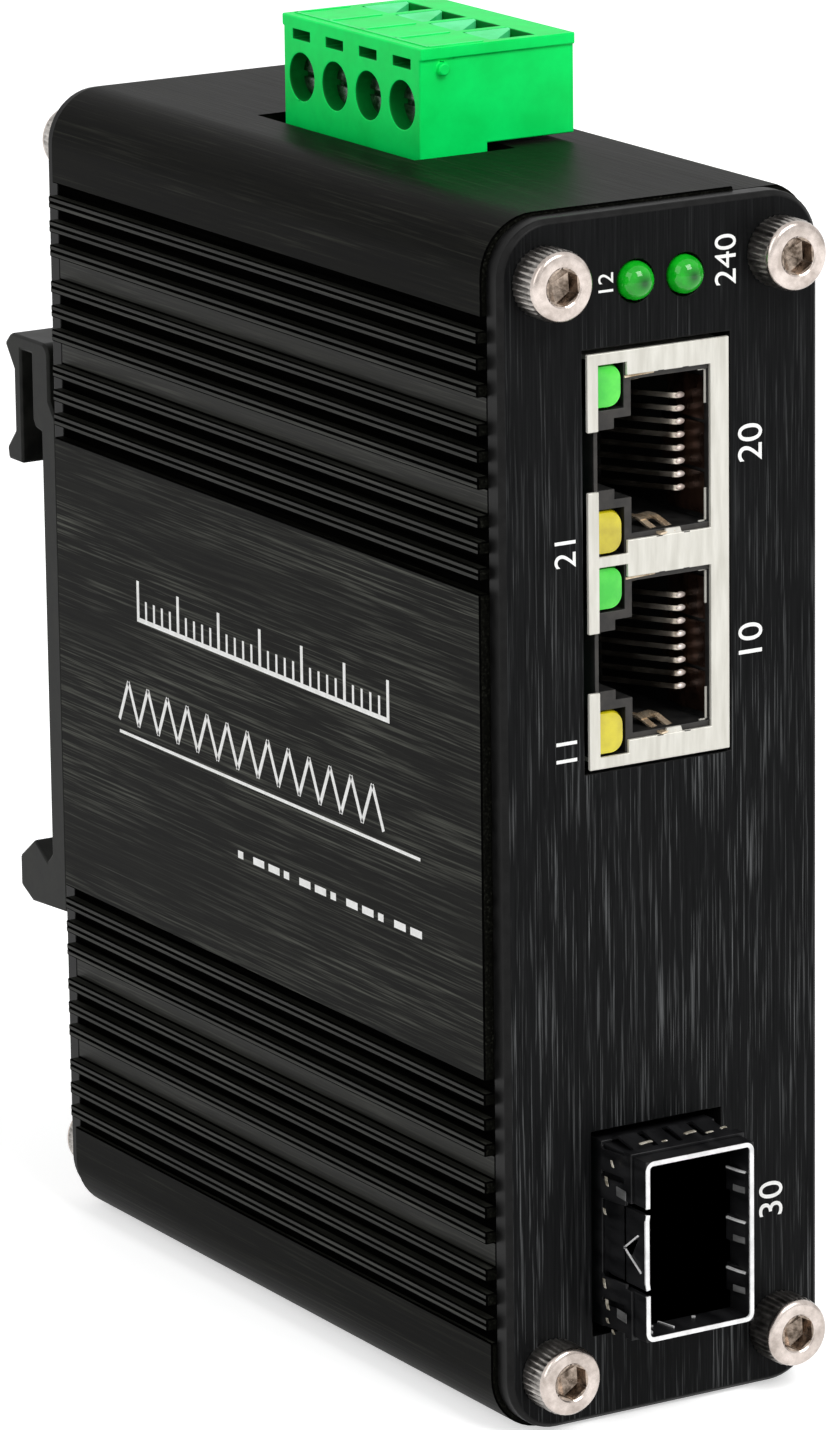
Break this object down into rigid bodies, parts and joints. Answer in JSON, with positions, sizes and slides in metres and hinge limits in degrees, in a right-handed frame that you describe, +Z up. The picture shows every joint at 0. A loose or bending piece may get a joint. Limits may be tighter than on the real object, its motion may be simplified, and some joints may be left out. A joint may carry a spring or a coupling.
{
  "type": "fibre media converter",
  "caption": "Slim DIN-rail fibre media converter: ribbed black case, stacked RJ45 ports, SFP cage, pluggable power terminal and rear rail clip.",
  "frame": {"origin": "middle of the flat base of the case extrusion", "axes": "+Z up, -Y out of the front panel, +Y out of the rear panel with the rail clip, -X the side that the terminal screws face"},
  "size_m": [0.0302, 0.0841, 0.1033],
  "materials": {
    "case_black": "black anodised, satin, drawn along the case",
    "panel_black": "black anodised over vertical brushing",
    "clip_black": "black anodised, satin",
    "screw_steel": "stainless, knurled head",
    "board_green": "solder mask",
    "shield_nickel": "nickel-plated sheet",
    "socket_black": "moulded",
    "contact_gold": "gold-plated wire",
    "lamp_green": "tinted lens",
    "lamp_yellow": "tinted lens",
    "cage_steel": "plated sheet",
    "spring_steel": "spring sheet",
    "light_green": "tinted dome",
    "plug_green": "moulded",
    "header_green": "moulded",
    "pin_tin": "tinned",
    "clamp_steel": "zinc-plated",
    "chip_black": "moulded package",
    "can_silver": "drawn can",
    "fuse_body": "glazed block"
  },
  "bodies": {
    "root": {"case_extrusion": "case_black", "front_panel": "panel_black", "rear_panel": "panel_black", "front_panel_screws": "screw_steel", "rear_panel_screws": "screw_steel", "din_clip": "clip_black", "din_clip_screws": "screw_steel", "main_board": "board_green", "switch_chip": "chip_black", "memory_chip": "chip_black", "power_chip": "chip_black", "power_inductor": "chip_black", "crystal": "can_silver", "input_fuse": "fuse_body", "surge_diode": "chip_black", "lan_transformers": "chip_black", "power_capacitors": "can_silver", "rj45_shield": "shield_nickel", "rj45_insulator": "socket_black", "rj45_contacts": "contact_gold", "rj45_green_leds": "lamp_green", "rj45_yellow_leds": "lamp_yellow", "sfp_cage": "cage_steel", "sfp_emi_fingers": "spring_steel", "sfp_connector": "socket_black", "status_leds": "light_green", "status_led_holder": "socket_black", "terminal_header": "header_green", "header_pins": "pin_tin"},
    "plug": {"terminal_plug": "plug_green", "plug_contacts": "pin_tin"},
    "screw_1": {"terminal_screw_1": "clamp_steel"},
    "clamp_1": {"wire_clamp_1": "clamp_steel"},
    "screw_2": {"terminal_screw_2": "clamp_steel"},
    "clamp_2": {"wire_clamp_2": "clamp_steel"},
    "screw_3": {"terminal_screw_3": "clamp_steel"},
    "clamp_3": {"wire_clamp_3": "clamp_steel"},
    "screw_4": {"terminal_screw_4": "clamp_steel"},
    "clamp_4": {"wire_clamp_4": "clamp_steel"}
  },
  "joints": [
    {"name": "plug_pull", "type": "slide", "parent": "root", "child": "plug", "axis": [0, 0, 1], "range_m": [0, 0.012]},
    {"name": "screw_1_turn", "type": "hinge", "parent": "plug", "child": "screw_1", "pos_m": [-0.00165, -0.00572, 0.0985], "axis": [1, 0, 0], "range_deg": [0, 1201]},
    {"name": "clamp_1_rise", "type": "slide", "parent": "plug", "child": "clamp_1", "axis": [-1, 0, 0], "range_m": [0, 0.0015]},
    {"name": "screw_2_turn", "type": "hinge", "parent": "plug", "child": "screw_2", "pos_m": [-0.00165, -0.00064, 0.0985], "axis": [1, 0, 0], "range_deg": [0, 1201]},
    {"name": "clamp_2_rise", "type": "slide", "parent": "plug", "child": "clamp_2", "axis": [-1, 0, 0], "range_m": [0, 0.0015]},
    {"name": "screw_3_turn", "type": "hinge", "parent": "plug", "child": "screw_3", "pos_m": [-0.00165, 0.00444, 0.0985], "axis": [1, 0, 0], "range_deg": [0, 1201]},
    {"name": "clamp_3_rise", "type": "slide", "parent": "plug", "child": "clamp_3", "axis": [-1, 0, 0], "range_m": [0, 0.0015]},
    {"name": "screw_4_turn", "type": "hinge", "parent": "plug", "child": "screw_4", "pos_m": [-0.00165, 0.00952, 0.0985], "axis": [1, 0, 0], "range_deg": [0, 1201]},
    {"name": "clamp_4_rise", "type": "slide", "parent": "plug", "child": "clamp_4", "axis": [-1, 0, 0], "range_m": [0, 0.0015]}
  ],
  "couplings": [
    {"joint": "screw_1_turn", "follows": "clamp_1_rise", "rad_per_m": 13963},
    {"joint": "screw_2_turn", "follows": "clamp_2_rise", "rad_per_m": 13963},
    {"joint": "screw_3_turn", "follows": "clamp_3_rise", "rad_per_m": 13963},
    {"joint": "screw_4_turn", "follows": "clamp_4_rise", "rad_per_m": 13963}
  ]
}
